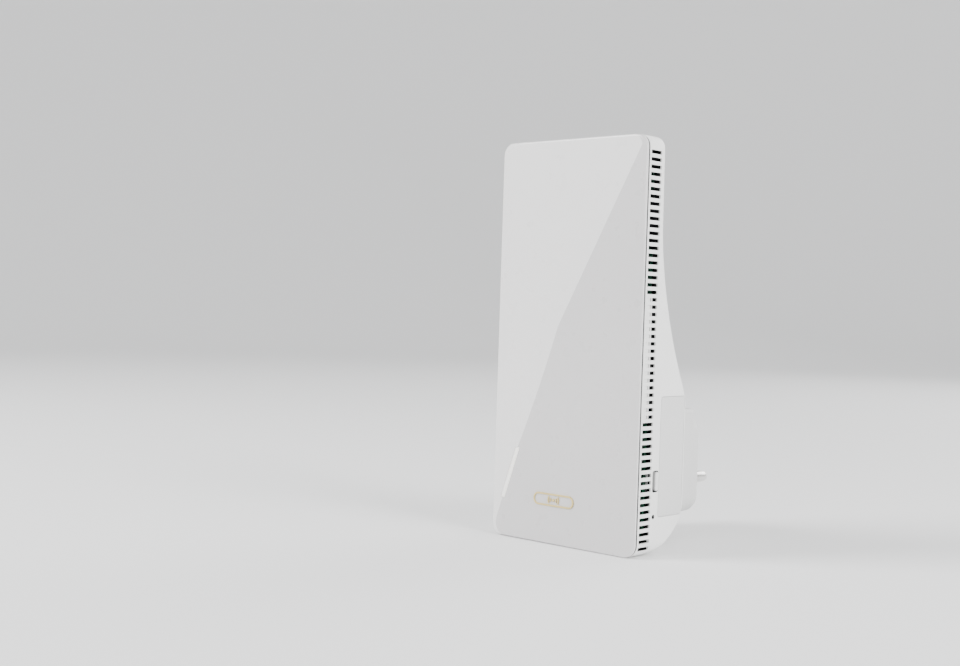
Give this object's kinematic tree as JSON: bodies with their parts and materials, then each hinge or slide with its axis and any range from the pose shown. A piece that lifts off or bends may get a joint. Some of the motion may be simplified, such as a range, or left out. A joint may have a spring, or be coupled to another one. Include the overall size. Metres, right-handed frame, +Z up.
{
  "type": "wifi range extender",
  "caption": "Plug-in wifi range extender: flat front cover on a vented housing with a swept hump, side pairing button, network jack and a two-pin mains plug block behind.",
  "frame": {"origin": "centre between the two mains pins on the flat rear face of the plug block", "axes": "+Y the way the pins point, into the wall socket; the front cover faces -Y; +Z up; +X to the right of someone looking at the front cover"},
  "size_m": [0.0723, 0.0862, 0.16],
  "materials": {
    "housing_plastic": "satin white moulded plastic",
    "cover_plastic": "gloss off-white moulded plastic",
    "diffuser": "translucent off-white",
    "clear_guide": "clear moulded light guide",
    "gold_trim": "champagne gold",
    "plug_plastic": "fine matte moulded plastic",
    "pin_metal": "nickel plated",
    "live_insulation": "brown wire insulation",
    "neutral_insulation": "blue wire insulation",
    "button_plastic": "satin white",
    "switch_black": "matte",
    "jack_plastic": "matte",
    "contact_gold": "gold plated",
    "label_film": "printed film, left blank",
    "circuit_board": "green solder mask",
    "chip_black": "moulded epoxy",
    "thermal_pad": "soft silicone",
    "heatsink_metal": "extruded",
    "shield_metal": "tinned sheet",
    "cable_black": "satin",
    "winding_tape": "taped winding",
    "capacitor_sleeve": "heat-shrink sleeve",
    "fuse_body": "moulded fuse",
    "screw_steel": "zinc plated"
  },
  "bodies": {
    "body": {"rear_housing": "housing_plastic", "front_cover": "cover_plastic", "light_bar_lens": "diffuser", "light_guide": "clear_guide", "front_emblem": "gold_trim", "plug_block": "plug_plastic", "live_pin": "pin_metal", "neutral_pin": "pin_metal", "live_wire": "live_insulation", "neutral_wire": "neutral_insulation", "pairing_switch": "switch_black", "reset_switch": "switch_black", "ethernet_jack": "jack_plastic", "ethernet_contacts": "contact_gold", "rating_label": "label_film", "main_board": "circuit_board", "wifi_processor": "chip_black", "thermal_pad": "thermal_pad", "heatsink": "heatsink_metal", "radio_shield_2g": "shield_metal", "radio_shield_5g": "shield_metal", "memory_chip": "chip_black", "network_transformer": "chip_black", "left_antenna": "circuit_board", "left_antenna_cable": "cable_black", "left_antenna_socket": "contact_gold", "right_antenna": "circuit_board", "right_antenna_cable": "cable_black", "right_antenna_socket": "contact_gold", "power_board": "circuit_board", "power_transformer": "winding_tape", "bulk_capacitor_1": "capacitor_sleeve", "bulk_capacitor_2": "capacitor_sleeve", "output_capacitor": "capacitor_sleeve", "bridge_rectifier": "chip_black", "input_fuse": "fuse_body", "line_choke": "winding_tape", "board_link": "contact_gold", "main_board_screw_1": "screw_steel", "main_board_screw_2": "screw_steel", "main_board_screw_3": "screw_steel", "main_board_screw_4": "screw_steel", "power_board_screw_1": "screw_steel", "plug_screw_1": "screw_steel", "power_board_screw_2": "screw_steel", "plug_screw_2": "screw_steel", "status_led_1": "diffuser", "status_led_2": "diffuser", "status_led_3": "diffuser"},
    "pairing_button": {"pairing_button": "button_plastic"},
    "reset_plunger": {"reset_plunger": "pin_metal"}
  },
  "joints": [
    {"name": "pairing_press", "type": "slide", "parent": "body", "child": "pairing_button", "axis": [-1, 0, 0], "range_m": [0, 0.0006], "stiffness_N_per_m": 1500, "springref_m": -0.0006},
    {"name": "reset_press", "type": "slide", "parent": "body", "child": "reset_plunger", "axis": [-1, 0, 0], "range_m": [0, 0.0004], "stiffness_N_per_m": 2000, "springref_m": -0.0004}
  ]
}
